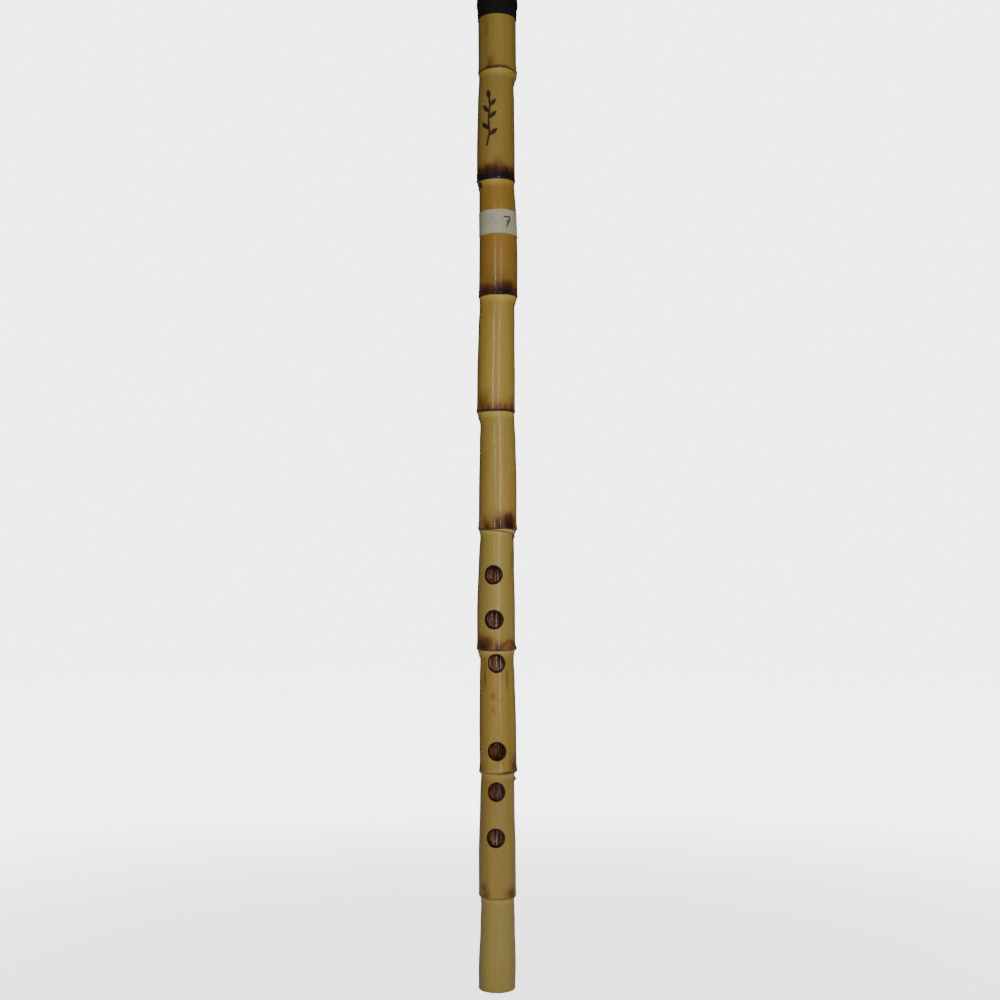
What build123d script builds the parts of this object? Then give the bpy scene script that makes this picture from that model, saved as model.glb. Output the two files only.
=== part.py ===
"""Ney, an end-blown flute made from one length of natural cane.

The cane has eight nodes and so nine internodes. It stands on its foot end, with the bore along +Z,
the mouth end up and the six finger holes on the front, facing -Y. The thumb hole is on the back.
Millimetres. The origin is the centre of the bore at the foot end.
"""

from build123d import *

import os
from itertools import accumulate
from math import atan, degrees

# Cane: its whole length, then its internodes from the foot up; the last one is what is left to the mouth
LENGTH = 680.0
INTERNODE_LENGTHS = [60.5, 81.1, 79.8, 79.1, 75.8, 75.2, 74.9, 71.2]
BELLY_RADII = [12.1, 11.9, 12.0, 12.2, 12.3, 12.2, 12.4, 12.1, 12.45]
NECK_RADII = [10.9, 11.0, 11.1, 11.1, 11.4, 11.6, 11.7, 11.5]
BELLY_SHARE = 0.35
FOOT_RADIUS = 11.7
FOOT_EDGE = 0.8
FOOT_SLOPE = 0.02

# Node: the ridge above the scar line, and the narrow neck below it
RIDGE_RADIUS = 12.8
RIDGE_CREST_HEIGHT = 1.3
FLARE_HEIGHT = 7.0
FLARE_RISE = 0.15
SCAR_DEPTH = 0.4
NECK_DROP = 2.6
SHOULDER_DROP = 18.0
SHOULDER_RISE = 0.45

# Bore, and the pierced membrane that is left inside each node
BORE_RADIUS = 8.25
MEMBRANE_HOLE_RADIUS = 7.2
THROAT_RADIUS = 5.2
MEMBRANE_THICKNESS = 3.0

# Mouth edge, bevelled on the outside
RIM_WIDTH = 1.0
BEVEL_HEIGHT = 6.0

# Bud groove below each node, on alternate sides, and the bud scar at its upper end
BUD_TURN = -7.0
GROOVE_RADIUS = 7.0
GROOVE_DEPTH = 0.7
GROOVE_LENGTH = 44.0
GROOVE_DROP = 5.5
BUD_RADIUS = 2.0
BUD_DROP = 4.6
BUD_PROUD = 0.5

# Finger holes and thumb hole: heights above the foot, and turns from the front about the bore
FINGER_HOLE_HEIGHTS = [100.2, 129.9, 156.2, 213.2, 241.4, 270.4]
FINGER_HOLE_TURNS = [-4.3, -3.4, -2.5, -1.2, -6.8, -9.3]
THUMB_HOLE_HEIGHT = 340.0
THUMB_HOLE_TURN = 180.0
HOLE_RADIUS = 5.0
HOLE_FLARE = 1.3
FLARE_DEPTH = 2.6

# Black tape bound round the mouth end
BINDING_LENGTH = 39.5
BINDING_THICKNESS = 0.7
BINDING_EDGE_THICKNESS = 0.3
BINDING_TAPER = 8.0
BEAD_HEIGHT = 11.2
BEAD_WIDTH = 4.0
BEAD_RISE = 0.4
BARE_RIM = 1.9

# Paper label round the front of the cane, below the second node from the mouth
LABEL_DROP = 19.9
LABEL_HEIGHT = 15.6
LABEL_WIDTH = 52.0
LABEL_THICKNESS = 0.25

# Film of glue that holds the tape and the label to the cane
GLUE_THICKNESS = 0.1

# Directions about the bore: the front line, and a clear line for the seam of the turned skin
FRONT = -90.0
SEAM_TURN = 30.0

NODES = list(accumulate(INTERNODE_LENGTHS))
BEVEL_START = LENGTH - BEVEL_HEIGHT
HOLE_HEIGHTS = FINGER_HOLE_HEIGHTS + [THUMB_HOLE_HEIGHT]
HOLE_TURNS = FINGER_HOLE_TURNS + [THUMB_HOLE_TURN]
REACH = 2 * RIDGE_RADIUS
UPRIGHT = (Align.CENTER, Align.CENTER, Align.MIN)
HANGING = (Align.CENTER, Align.CENTER, Align.MAX)


def skin_line(index, growth=0.0):
    """Draws the outer line of one internode, from its lower node line up to its neck."""
    low = ([0.0] + NODES)[index]
    high = (NODES + [LENGTH])[index]
    belly = (BELLY_RADII[index] + growth, low + BELLY_SHARE * (high - low))
    if index:
        crest = (RIDGE_RADIUS + growth, low + RIDGE_CREST_HEIGHT)
        points = [crest, (BELLY_RADII[index] + FLARE_RISE + growth, low + FLARE_HEIGHT), belly]
        TangentArc(crest, (RIDGE_RADIUS - SCAR_DEPTH + growth, low), tangent=(0, -1))
    else:
        points = [(FOOT_RADIUS + growth, low), belly]
    if index < len(NODES):
        neck = (NECK_RADII[index] + growth, high - NECK_DROP)
        points += [(NECK_RADII[index] + SHOULDER_RISE + growth, high - SHOULDER_DROP), neck]
        TangentArc(neck, (RIDGE_RADIUS - SCAR_DEPTH + growth, high), tangent=(0, 1))
    else:
        Line(belly, (belly[0], BEVEL_START))
    start_slope = (0, 1) if index else (FOOT_SLOPE, 1)
    Spline(*points, tangents=[start_slope, (0, 1)])


# Bore space: one chamber to each internode, and the opening pierced through each membrane
floors = [0.0] + [node + MEMBRANE_THICKNESS / 2 for node in NODES]
ceilings = [node - MEMBRANE_THICKNESS / 2 for node in NODES] + [LENGTH]
passages = [MEMBRANE_HOLE_RADIUS] * (len(NODES) - 1) + [THROAT_RADIUS]
with BuildPart() as bore_space:
    with BuildSketch(Plane.XZ.rotated((0, 0, SEAM_TURN))):
        for floor, ceiling in zip(floors, ceilings):
            with Locations((0, floor)):
                Rectangle(BORE_RADIUS, ceiling - floor, align=Align.MIN)
        for node, passage in zip(NODES, passages):
            with Locations((0, node)):
                Rectangle(passage, MEMBRANE_THICKNESS, align=(Align.MIN, Align.CENTER))
    revolve(axis=Axis.Z)

# Cane tube: the skin turned about the bore, then grooved, pierced and bored
with BuildPart() as cane_tube:
    with BuildSketch(Plane.XZ.rotated((0, 0, SEAM_TURN))):
        with BuildLine():
            for number in range(len(BELLY_RADII)):
                skin_line(number)
            Polyline(
                (BELLY_RADII[-1], BEVEL_START),
                (BORE_RADIUS + RIM_WIDTH, LENGTH),
                (0, LENGTH),
                (0, 0),
                (FOOT_RADIUS, 0),
            )
        make_face()
    revolve(axis=Axis.Z)
    fillet(cane_tube.edges().filter_by(GeomType.CIRCLE).group_by(Axis.Z)[0], FOOT_EDGE)

    # Bud grooves, deepest below the node and running out down the internode
    for number, node in enumerate(NODES):
        bud_line = Location((0, 0, node), (0, 0, BUD_TURN if number % 2 else BUD_TURN + 180))
        top = NECK_RADII[number] + GROOVE_RADIUS - GROOVE_DEPTH
        run_out = BELLY_RADII[number] + GROOVE_RADIUS - top
        lean = degrees(atan(run_out / GROOVE_LENGTH))
        with Locations(bud_line * Location((top, 0, -GROOVE_DROP), (0, -lean, 0))):
            Cylinder(GROOVE_RADIUS, GROOVE_LENGTH, align=HANGING, mode=Mode.SUBTRACT)
            Sphere(GROOVE_RADIUS, mode=Mode.SUBTRACT)
        with Locations(bud_line * Location((NECK_RADII[number] + BUD_PROUD - BUD_RADIUS, 0, -BUD_DROP))):
            Sphere(BUD_RADIUS)

    # Finger holes and thumb hole, burnt through the wall and flared at the skin
    for height, turn in zip(HOLE_HEIGHTS, HOLE_TURNS):
        skin = BELLY_RADII[sum(node < height for node in NODES)]
        with Locations(Location((0, 0, height), (0, 0, turn)) * Rotation(90, 0, 0)):
            Cylinder(HOLE_RADIUS, REACH, align=UPRIGHT, mode=Mode.SUBTRACT)
            with Locations((0, 0, skin - FLARE_DEPTH)):
                flared = HOLE_RADIUS + 2 * HOLE_FLARE
                Cone(HOLE_RADIUS, flared, 2 * FLARE_DEPTH, align=UPRIGHT, mode=Mode.SUBTRACT)
    add(bore_space.part, mode=Mode.SUBTRACT)
cane_tube.part.label = "cane_tube"

# Mouth binding: black tape wound and glued round the top internode, thinnest at its lower edge.
# Its inner wall follows the skin of the cane, so that it can also pass over a node.
binding_top = BEVEL_START - BARE_RIM
binding_foot = binding_top - BINDING_LENGTH
cane_radius = BELLY_RADII[-1]
tape_radius = cane_radius + BINDING_THICKNESS
taper_top = (tape_radius, binding_foot + BINDING_TAPER)
bead_crest = (tape_radius + BEAD_RISE, binding_foot + BEAD_HEIGHT)
bead_top = (tape_radius, binding_foot + BEAD_HEIGHT + BEAD_WIDTH / 2)
with BuildPart() as mouth_binding:
    with BuildSketch(Plane.XZ):
        with BuildLine():
            Polyline(
                bead_top,
                (tape_radius, binding_top),
                (BORE_RADIUS, binding_top),
                (BORE_RADIUS, binding_foot),
                (cane_radius + BINDING_EDGE_THICKNESS, binding_foot),
                taper_top,
            )
            ThreePointArc(taper_top, bead_crest, bead_top)
        make_face()
        with BuildLine():
            for number in range(len(BELLY_RADII)):
                skin_line(number, GLUE_THICKNESS)
            Polyline(
                (cane_radius + GLUE_THICKNESS, BEVEL_START),
                (0, BEVEL_START),
                (0, 0),
                (FOOT_RADIUS + GLUE_THICKNESS, 0),
            )
        make_face(mode=Mode.SUBTRACT)
    revolve(axis=Axis.Z)
mouth_binding.part.label = "mouth_binding"

# Paper label: a strip pressed round the front of the cane on a film of glue, across the bud groove
label_internode = len(NODES) - 2
label_low = NODES[label_internode - 1]
label_node = NODES[label_internode]
label_turn = degrees(LABEL_WIDTH / BELLY_RADII[label_internode])
with BuildPart() as paper_label:
    with BuildSketch(Plane.XZ.rotated((0, 0, FRONT - label_turn / 2))):
        for growth, mode in ((GLUE_THICKNESS + LABEL_THICKNESS, Mode.ADD), (GLUE_THICKNESS, Mode.SUBTRACT)):
            with BuildLine():
                skin_line(label_internode, growth)
                scar = RIDGE_RADIUS - SCAR_DEPTH + growth
                inner = [(BORE_RADIUS, label_node), (BORE_RADIUS, label_low)]
                Polyline((scar, label_node), *inner, (scar, label_low))
            make_face(mode=mode)
        with Locations((0, label_node - LABEL_DROP)):
            Rectangle(REACH, LABEL_HEIGHT, align=(Align.MIN, Align.MAX), mode=Mode.INTERSECT)
    revolve(axis=Axis.Z, revolution_arc=label_turn)
paper_label.part.label = "paper_label"

os.makedirs("parts", exist_ok=True)
for piece in (cane_tube, mouth_binding, paper_label):
    export_step(piece.part, f"parts/{piece.part.label}.step")
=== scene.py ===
from math import asin, atan2, cos, pi, radians, sin, tau

import bpy
import numpy as np
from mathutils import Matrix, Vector
from mathutils.bvhtree import BVHTree


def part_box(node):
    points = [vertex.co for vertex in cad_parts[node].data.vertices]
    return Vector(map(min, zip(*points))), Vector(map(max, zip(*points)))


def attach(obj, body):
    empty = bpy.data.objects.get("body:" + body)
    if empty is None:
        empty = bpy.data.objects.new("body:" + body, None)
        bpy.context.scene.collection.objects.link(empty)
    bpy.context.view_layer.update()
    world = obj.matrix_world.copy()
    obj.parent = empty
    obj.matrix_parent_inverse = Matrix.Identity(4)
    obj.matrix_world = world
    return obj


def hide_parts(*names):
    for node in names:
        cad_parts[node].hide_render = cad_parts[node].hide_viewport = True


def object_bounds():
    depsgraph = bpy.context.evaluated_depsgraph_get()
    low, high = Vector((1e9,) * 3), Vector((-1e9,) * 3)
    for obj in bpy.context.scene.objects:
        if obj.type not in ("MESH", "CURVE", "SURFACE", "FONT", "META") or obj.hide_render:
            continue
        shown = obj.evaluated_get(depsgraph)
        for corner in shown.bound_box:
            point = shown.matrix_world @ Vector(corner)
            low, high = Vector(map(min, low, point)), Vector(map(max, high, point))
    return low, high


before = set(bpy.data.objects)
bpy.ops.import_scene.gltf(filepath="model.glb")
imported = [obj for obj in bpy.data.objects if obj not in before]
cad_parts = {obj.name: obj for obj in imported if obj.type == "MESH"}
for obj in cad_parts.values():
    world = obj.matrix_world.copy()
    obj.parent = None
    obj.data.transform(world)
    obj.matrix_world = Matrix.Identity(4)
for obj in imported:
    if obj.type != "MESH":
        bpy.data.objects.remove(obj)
cad_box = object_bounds()

# Camera: level and square to the cane, so that its sides stay upright in the picture.
# The eye is at the height of the upper holes, and the picture is shifted up to take in the mouth end.
# The camera and the lights are placed in metres, and the pieces are made in millimetres.
EYE = Vector((0.0019, -0.858, 0.2541))
LENS = 47.2
PICTURE_SHIFT = 0.1

camera = bpy.data.objects.new("camera", bpy.data.cameras.new("camera"))
camera.data.lens = LENS
camera.data.shift_y = PICTURE_SHIFT
camera.location = EYE
camera.rotation_euler = (pi / 2, 0, 0)
bpy.context.scene.collection.objects.link(camera)
bpy.context.scene.camera = camera


# Studio: a white floor that fades into a white surround, two tall strip lights in front of the cane,
# which draw the two thin upright highlights, and large soft lights that show in no reflection.
class Field:
    """A number or vector that varies over a surface. Sums written with it become the nodes of its tree."""

    def __init__(self, tree, socket):
        self.tree = tree
        self.socket = socket

    def reckon(self, operation, *others):
        """Adds one step of arithmetic on this field and others, which may be plain numbers."""
        made = self.tree.nodes.new("ShaderNodeMath")
        made.operation = operation
        for place, value in enumerate((self, *others)):
            join(self.tree, value, made.inputs[place])
        return Field(self.tree, made.outputs[0])

    def __add__(self, other):
        return self.reckon("ADD", other)

    def __sub__(self, other):
        return self.reckon("SUBTRACT", other)

    def __rsub__(self, other):
        return constant(self.tree, other).reckon("SUBTRACT", self)

    def __mul__(self, other):
        return self.reckon("MULTIPLY", other)

    def __truediv__(self, other):
        return self.reckon("DIVIDE", other)

    def __pow__(self, other):
        return self.reckon("POWER", other)

    __radd__ = __add__
    __rmul__ = __mul__

    def least(self, other):
        return self.reckon("MINIMUM", other)

    def most(self, other):
        return self.reckon("MAXIMUM", other)

    def ramp(self, start, end, low=0.0, high=1.0, smooth=True):
        """Goes from low at start to high at end, and stays there beyond them."""
        made = self.tree.nodes.new("ShaderNodeMapRange")
        made.interpolation_type = "SMOOTHSTEP" if smooth else "LINEAR"
        for place, value in enumerate((self, start, end, low, high)):
            join(self.tree, value, made.inputs[place])
        return Field(self.tree, made.outputs[0])


def constant(tree, value):
    """A plain number as a field, so that a field can be taken from it."""
    made = tree.nodes.new("ShaderNodeMath")
    made.operation = "ADD"
    made.inputs[0].default_value = value
    made.inputs[1].default_value = 0
    return Field(tree, made.outputs[0])


def join(tree, value, socket):
    """Links a field or a socket to a socket, or sets the socket to a plain value."""
    if isinstance(value, Field):
        tree.links.new(value.socket, socket)
    elif isinstance(value, bpy.types.NodeSocket):
        tree.links.new(value, socket)
    else:
        socket.default_value = value


def add_node(tree, kind, inputs=None, **options):
    """Adds a node with its options, and links or sets its inputs by name or place."""
    made = tree.nodes.new(kind)
    for option, value in options.items():
        setattr(made, option, value)
    for name, value in (inputs or {}).items():
        join(tree, value, made.inputs[name])
    return made


def new_material(name):
    """A material with a bare Principled shader, returned with its tree and that shader."""
    material = bpy.data.materials.new(name)
    material.use_nodes = True
    return material, material.node_tree, material.node_tree.nodes["Principled BSDF"]


FLOOR_RADIUS = 4.0
FLOOR_FADE = (0.25, 0.9)
SURROUND_WHITE = 4.6
FLOOR_GLOW = 2.6
SURROUND_LIGHT = (0.055, 0.057, 0.06, 1)
HIGHEST_AIM = 0.6

bpy.ops.mesh.primitive_circle_add(vertices=96, radius=FLOOR_RADIUS, fill_type="NGON")
floor = bpy.context.object
floor.name = "floor"
floor_white, tree, coat = new_material("white_floor")
coat.inputs["Base Color"].default_value = (0.4, 0.4, 0.4, 1)
coat.inputs["Roughness"].default_value = 0.9
place = add_node(tree, "ShaderNodeTexCoord").outputs["Object"]
away = Field(tree, add_node(tree, "ShaderNodeVectorMath", {0: place}, operation="LENGTH").outputs["Value"])
seen = Field(tree, add_node(tree, "ShaderNodeLightPath").outputs["Is Camera Ray"])
glow = seen * away.ramp(*FLOOR_FADE, FLOOR_GLOW, SURROUND_WHITE)
coat.inputs["Emission Color"].default_value = (1, 1, 1, 1)
join(tree, glow, coat.inputs["Emission Strength"])
floor.data.materials.append(floor_white)

world = bpy.data.worlds.new("studio")
bpy.context.scene.world = world
world.use_nodes = True
tree = world.node_tree
tree.nodes.clear()
seen = add_node(tree, "ShaderNodeLightPath").outputs["Is Camera Ray"]
dim = add_node(tree, "ShaderNodeBackground", {"Color": SURROUND_LIGHT, "Strength": 1})
white = add_node(tree, "ShaderNodeBackground", {"Color": (1, 1, 1, 1), "Strength": SURROUND_WHITE})
mixed = add_node(tree, "ShaderNodeMixShader", {0: seen, 1: dim.outputs[0], 2: white.outputs[0]})
add_node(tree, "ShaderNodeOutputWorld", {"Surface": mixed.outputs[0]})


def add_light(name, turn, distance, height, size, power, mirrored=True):
    """An area light that faces the cane from a turn about it, measured from the eye's side."""
    data = bpy.data.lights.new(name, "AREA")
    data.shape = "RECTANGLE"
    data.size, data.size_y = size
    data.energy = power
    light = bpy.data.objects.new(name, data)
    light.location = (distance * sin(turn), -distance * cos(turn), height)
    target = Vector((0, 0, min(height, cad_box[1].z * HIGHEST_AIM)))
    light.rotation_euler = (target - light.location).to_track_quat("-Z", "Y").to_euler()
    light.visible_glossy = mirrored
    bpy.context.scene.collection.objects.link(light)


add_light("strip_left", radians(-18), 1.5, 0.7, (0.05, 0.42), 1.5)
add_light("strip_right", radians(17), 1.5, 0.47, (0.05, 0.86), 2.4)
add_light("soft_front", radians(7), 0.95, 0.38, (0.5, 0.5), 6.6, mirrored=False)
add_light("soft_top", radians(150), 1.8, 1.9, (1.5, 1.5), 22, mirrored=False)
add_light("soft_back", radians(184), 0.95, 0.38, (0.5, 0.5), 6.0, mirrored=False)


# Cane tube: one length of natural cane, its eight nodes scraped smooth and the whole varnished. It is made
# as a straight blank with the holes already through its wall, which a rule for cane then swells and bends.
MM = 0.001
LENGTH = cad_box[1].z / MM
SCAR_HEIGHTS = [60.5, 141.6, 221.4, 299.7, 376.3, 451.5, 526.4, 597.6]
BELLY_RADII = [12.45, 12.2, 12.15, 12.55, 12.5, 12.5, 12.65, 12.5, 12.45]
NECK_RADII = [11.0, 11.1, 11.2, 11.3, 11.5, 11.6, 11.8, 11.65]
RIDGE_RADII = [12.35, 12.78, 13.0, 13.0, 12.75, 12.95, 12.75, 12.85]
NECK_DROPS = [1.6, 1.5, 6.6, 4.4, 9.0, 6.2, 5.0, 6.0]
LINE_STRENGTHS = [0.34, 0.42, 0.62, 0.64, 0.72, 0.75, 0.75, 0.72]
# How far each internode leans from the straight line to the right: at its foot, middle and head
BENDS = [(-0.05, 0.2, 0.35), (0.3, 0.15, 0.5), (0.75, 0.3, -0.2), (-0.5, -0.6, 0.25), (0.35, 0.45, 0.1)]
BENDS += [(-0.78, -0.5, 0.25), (0.58, 0.72, -0.5), (-0.78, -0.72, -0.3), (0.2, -0.05, 0.0)]
# Each internode's brightness, partly its own tone and partly painted light; its share of green; and the
# rise of the bud at its head
TONES_AND_PAINTED_LIGHT = [1.04, 0.98, 1.08, 1.06, 1.12, 1.21, 0.96, 0.89, 0.95]
GREENS = [0.42, 0.12, 0.05, 0.34, 0.12, 0.06, 0.0, 0.06, 0.06]
BUD_RISES = [0.7, 1.8, 0.8, 1.0, 0.7, 0.9, 0.7, 0.8, 0.0]
BORE_RADIUS = 8.25
PASSAGE_RADII = [7.2] * 7 + [5.2]
BEVEL_HEIGHT = 6.0
RIM_WIDTH = 1.0
FINGER_HOLE_HEIGHTS = [100.2, 129.9, 156.2, 213.2, 241.4, 270.4]
FINGER_HOLE_TURNS = [-7.2, -6.2, -5.4, -3.4, -8.6, -11.8]
THUMB_HOLE_HEIGHT = 340.0
HOLE_RADIUS = 5.0
HOLE_TALLNESS = 1.04
HOLE_OVALNESS = 0.018
HOLE_CORNERS = 0.012
FRONT = radians(-90)

COLUMNS = 96
ROWS_TO_INTERNODE = 70
ROWS_DRAWN_TO_NODES = 0.8
BORE_ROW_STEP = 3
HOLE_HALF_COLUMNS = 13
HOLE_HALF_HEIGHT = 7.6
SCAR_MARGIN = 0.35
SKIN_RINGS = 6
BORE_RINGS = 4
# Distance from the middle of a hole, and depth into the wall as a share of it, from the skin to the bore
HOLE_LIP = [(6.7, 0), (6.2, 0.008), (5.8, 0.03), (5.45, 0.08), (5.2, 0.16), (5.05, 0.28), (5.0, 0.45)]
HOLE_WALL = [(4.88, 0.65), (4.8, 0.85), (4.85, 0.96), (5.05, 1.0)]
RIM_DEPTHS = [0.12, 0.5, 0.88]
BLANK_RADIUS = 12.0
FAR_AWAY = 99.0

holes = [(height, FRONT + radians(turn)) for height, turn in zip(FINGER_HOLE_HEIGHTS, FINGER_HOLE_TURNS)]
holes.append((THUMB_HOLE_HEIGHT, FRONT + pi))
lows = [0.0] + SCAR_HEIGHTS
highs = SCAR_HEIGHTS + [LENGTH]


def internode_at(height):
    """The number of the internode at a height, counted from 0 at the foot."""
    return sum(scar < height for scar in SCAR_HEIGHTS)


# Rows of the blank, drawn together towards each node line, up the skin and back down the bore
skin_heights = []
for low, high in zip(lows, highs):
    share = np.arange(ROWS_TO_INTERNODE) / ROWS_TO_INTERNODE
    eased = share - ROWS_DRAWN_TO_NODES * np.sin(tau * share) / tau
    skin_heights += list(low + (high - low) * eased)
skin_heights.append(LENGTH)


def hole_rows(height):
    """The first and last skin row of the patch round a hole, kept clear of the node lines."""
    internode = internode_at(height)
    lowest = max(height - HOLE_HALF_HEIGHT, lows[internode] + SCAR_MARGIN)
    highest = min(height + HOLE_HALF_HEIGHT, highs[internode] - SCAR_MARGIN)
    first = max(row for row, z in enumerate(skin_heights) if z <= lowest)
    last = min(row for row, z in enumerate(skin_heights) if z >= highest)
    return first, last


patches = []
for height, turn in holes:
    first, last = hole_rows(height)
    middle = round((turn % tau) / tau * COLUMNS)
    patches.append((first, last, middle - HOLE_HALF_COLUMNS, middle + HOLE_HALF_COLUMNS))
patch_rows = {row for first, last, *_ in patches for row in range(first, last + 1)}
last_row = len(skin_heights) - 1
bore_rows = [row for row in range(last_row) if row in patch_rows or row % BORE_ROW_STEP == 0] + [last_row]
bore_rows.reverse()
stations = [(z, 0.0) for z in skin_heights] + [(LENGTH, depth) for depth in RIM_DEPTHS]
bore_station = {row: len(stations) + place for place, row in enumerate(bore_rows)}
stations += [(skin_heights[row], 1.0) for row in bore_rows]
stations += [(0.0, depth) for depth in reversed(RIM_DEPTHS)]

# Vertices as turn, height and depth: first the grid, then the rings of each hole
turns = [tau * column / COLUMNS for column in range(COLUMNS)] * len(stations)
heights = [z for z, _ in stations for _ in range(COLUMNS)]
depths = [depth for _, depth in stations for _ in range(COLUMNS)]
faces = []
cut_out = set()
for first, last, left, right in patches:
    for column in range(left, right):
        cut_out |= {(row, column % COLUMNS) for row in range(first, last)}
        cut_out |= {(bore_station[row + 1], column % COLUMNS) for row in range(first, last)}
for station in range(len(stations)):
    for column in range(COLUMNS):
        if (station, column) not in cut_out:
            above, beside = (station + 1) % len(stations), (column + 1) % COLUMNS
            corners = ((station, column), (station, beside), (above, beside), (above, column))
            faces.append([s * COLUMNS + c for s, c in corners])


def add_ring(hole, points, depth):
    """Adds one loop of vertices round a hole, from points across and up from its middle."""
    height, turn = hole
    belly = BELLY_RADII[internode_at(height)]
    radius = belly + (BORE_RADIUS - belly) * depth
    start = len(turns)
    for across, up in points:
        turns.append(turn + asin(across / radius))
        heights.append(height + up)
        depths.append(depth)
    return list(range(start, len(turns)))


def round_ring(radius, height, bearings):
    """Points of a hole at one radius: burnt by hand, so a little tall and not quite true."""
    ring = []
    for bearing in bearings:
        oval = HOLE_OVALNESS * sin(2 * bearing + height)
        burnt = radius * (1 + oval + HOLE_CORNERS * sin(3 * bearing + 2 * height))
        ring.append((burnt * cos(bearing), burnt * sin(bearing) * HOLE_TALLNESS))
    return ring


def between(outer, inner, share):
    """Points that lie a share of the way from one ring of points to another."""
    return [(a + (c - a) * share, b + (d - b) * share) for (a, b), (c, d) in zip(outer, inner)]


def turned_by(turns, start):
    """How far turns lie from a start, the short way round."""
    return (turns - start + pi) % tau - pi


for hole, (first, last, left, right) in zip(holes, patches):
    height, turn = hole
    belly = BELLY_RADII[internode_at(height)]
    loop = [(first, column) for column in range(left, right)]
    loop += [(row, right) for row in range(first, last)]
    loop += [(last, column) for column in range(right, left, -1)]
    loop += [(row, left) for row in range(last, first, -1)]
    spans = [turned_by(tau * column / COLUMNS, turn) for _, column in loop]
    ups = [skin_heights[row] - height for row, _ in loop]
    on_skin = [(belly * sin(span), up) for span, up in zip(spans, ups)]
    on_bore = [(BORE_RADIUS * sin(span), up) for span, up in zip(spans, ups)]
    bearings = [atan2(up, across) for across, up in on_skin]
    lip = round_ring(HOLE_LIP[0][0], height, bearings)
    foot = round_ring(HOLE_WALL[-1][0], height, bearings)
    rings = [[row * COLUMNS + column % COLUMNS for row, column in loop]]
    for step in range(1, SKIN_RINGS):
        rings.append(add_ring(hole, between(on_skin, lip, step / SKIN_RINGS), 0.0))
    for radius, depth in HOLE_LIP + HOLE_WALL:
        rings.append(add_ring(hole, round_ring(radius, height, bearings), depth))
    for step in range(1, BORE_RINGS):
        rings.append(add_ring(hole, between(foot, on_bore, step / BORE_RINGS), 1.0))
    rings.append([bore_station[row] * COLUMNS + column % COLUMNS for row, column in loop])
    for outer, inner in zip(rings, rings[1:]):
        for place in range(len(loop)):
            beside = (place + 1) % len(loop)
            faces.append([outer[place], outer[beside], inner[beside], inner[place]])

turns, heights, depths = np.array(turns), np.array(heights), np.array(depths)
internodes = np.searchsorted(SCAR_HEIGHTS, heights, side="right")
nearest_scar = np.abs(heights[:, None] - np.array(SCAR_HEIGHTS)).argmin(1)

# How far each point of the skin is from the edge of the nearest hole. The middle is set a little to the
# right, so the burnt ring is widest there: that extra width is painted shade of the hole's wall.
RIM_SHADE_OFF = 0.4
PIERCED_RADIUS = 12.1
mouths = np.full(len(turns), FAR_AWAY)
for height, turn in holes:
    span = turned_by(turns, turn)
    across = np.sin(span) * (PIERCED_RADIUS + (BORE_RADIUS - PIERCED_RADIUS) * depths)
    across = np.where(np.abs(span) < pi / 2, across, FAR_AWAY)
    off = np.hypot(across - RIM_SHADE_OFF, (heights - height) / HOLE_TALLNESS) - HOLE_RADIUS
    mouths = np.minimum(mouths, off)

# Burns above the node lines, where the maker straightened the cane over a flame, and other stains. Each
# keeps to its own internode: height, turn from the front, half height, half width in degrees, strength.
BURNS = [
    (597.8, -8, 2.3, 80, 0.8),
    (600, -22, 13, 34, 0.36),
    (620, -36, 42, 24, 0.3),
    (612, -31, 24, 9, 0.3),
    (526.6, 0, 12.2, 900, 1.14),
    (530, 12, 15.5, 44, 0.56),
    (530, -42, 14, 30, 0.46),
    (451.6, 0, 11, 150, 0.9),
    (451.6, 21, 14, 66, 1.02),
    (456, 8, 20, 90, 0.4),
    (376.4, 0, 2.8, 170, 0.9),
    (378, 58, 15, 50, 0.42),
    (376.4, 0, 12, 140, 0.5),
    (379, -44, 17, 56, 0.42),
    (299.8, 40, 15, 38, 1.0),
    (300.5, 2, 17, 50, 0.6),
    (300.5, -34, 14, 34, 0.5),
    (299.8, 0, 2.2, 200, 0.6),
    (222.5, -40, 13.5, 62, 0.74),
    (222, 48, 10.5, 42, 0.62),
    (222.4, 74, 5, 16, 0.95),
    (222, 8, 11, 40, 0.5),
    (221.5, 0, 2.4, 140, 0.5),
    (141.8, 40, 2.6, 60, 0.6),
    (146, 58, 15, 40, 0.5),
    (144, -60, 9, 40, 0.3),
    (67.5, -48, 6, 26, 0.5),
    (63, -42, 7, 36, 0.42),
    (63.5, 46, 9, 40, 0.5),
    (118, -46, 18, 5, 0.24),
    (112, 40, 16, 4, 0.16),
    (136.6, 83, 2.4, 14, 0.6),
    (206, -42, 17, 10, 0.42),
    (203, 34, 13, 10, 0.36),
    (225.5, 52, 5, 24, 0.36),
    (192, -12, 4.6, 15, 0.4),
    (183, -13, 4.0, 13, 0.34),
    (280, 60, 15, 26, 0.3),
    (295.6, 66, 3.0, 14, 0.8),
    (523.6, -60, 3.4, 14, 0.8),
    (14, -70, 26, 34, 0.22),
    (301, 170, 16, 90, 1.0),
    (223, 150, 13, 80, 0.95),
    (144, 190, 14, 85, 0.85),
    (378, 175, 14, 90, 0.85),
    (454, 200, 15, 80, 0.8),
    (599, 180, 12, 90, 0.75),
    (63, 180, 12, 100, 0.8),
    (416, 210, 26, 20, 0.45),
    (180, 165, 28, 18, 0.45),
]
burns = np.zeros(len(turns))
for height, turn, tall, wide, strength in BURNS:
    span = turned_by(turns, FRONT + radians(turn))
    reach = (np.abs((heights - height) / tall) ** 3 + np.abs(span / radians(wide)) ** 3) ** (1 / 3)
    own = internodes == internode_at(height)
    burns = np.maximum(burns, own * strength * np.clip(1 - reach, 0, 1))

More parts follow.
